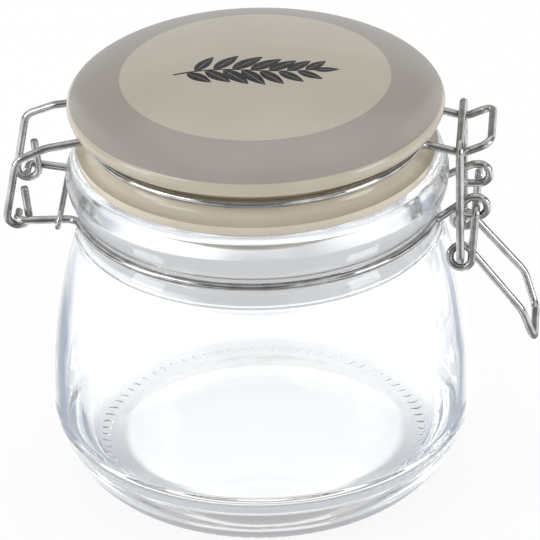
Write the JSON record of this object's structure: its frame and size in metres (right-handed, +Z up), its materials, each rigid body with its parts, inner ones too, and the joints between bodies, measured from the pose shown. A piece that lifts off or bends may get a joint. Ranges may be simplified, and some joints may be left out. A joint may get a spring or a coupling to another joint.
{
  "type": "clip-top storage jar",
  "caption": "Round glass storage jar with a domed glazed ceramic lid on a wire hinge, held shut on a soft sealing ring by a wire bail and a lever.",
  "frame": {"origin": "on the jar's axis, on the surface that the foot of the jar stands on", "axes": "+Z up along the jar's axis, -X towards the hinge, +X towards the latch, -Y the side that faces the viewer"},
  "size_m": [0.133, 0.1068, 0.1111],
  "materials": {
    "clear_glass": "clear, fire-polished",
    "lid_glaze": "satin glaze, cream",
    "seal_rubber": "matt",
    "bright_wire": "polished"
  },
  "bodies": {
    "root": {"glass_jar": "clear_glass", "front_neck_wire": "bright_wire", "back_neck_wire": "bright_wire", "tie_link": "bright_wire"},
    "lid": {"ceramic_lid": "lid_glaze", "sealing_ring": "seal_rubber", "lid_wire": "bright_wire"},
    "lever": {"clamp_lever": "bright_wire"},
    "bail": {"latch_bail": "bright_wire"}
  },
  "joints": [
    {"name": "lid_hinge", "type": "hinge", "parent": "root", "child": "lid", "pos_m": [-0.05905, 0, 0.0748], "axis": [0, -1, 0], "range_deg": [0, 105]},
    {"name": "lever_pivot", "type": "hinge", "parent": "root", "child": "lever", "pos_m": [0.05496, 0, 0.0769], "axis": [0, -1, 0], "range_deg": [0, 100]},
    {"name": "bail_pivot", "type": "hinge", "parent": "lever", "child": "bail", "pos_m": [0.05106, 0, 0.0633], "axis": [0, -1, 0], "range_deg": [-62, 0]}
  ],
  "couplings": [
    {"joint": "bail_pivot", "follows": "lever_pivot", "ratio": -0.62}
  ]
}
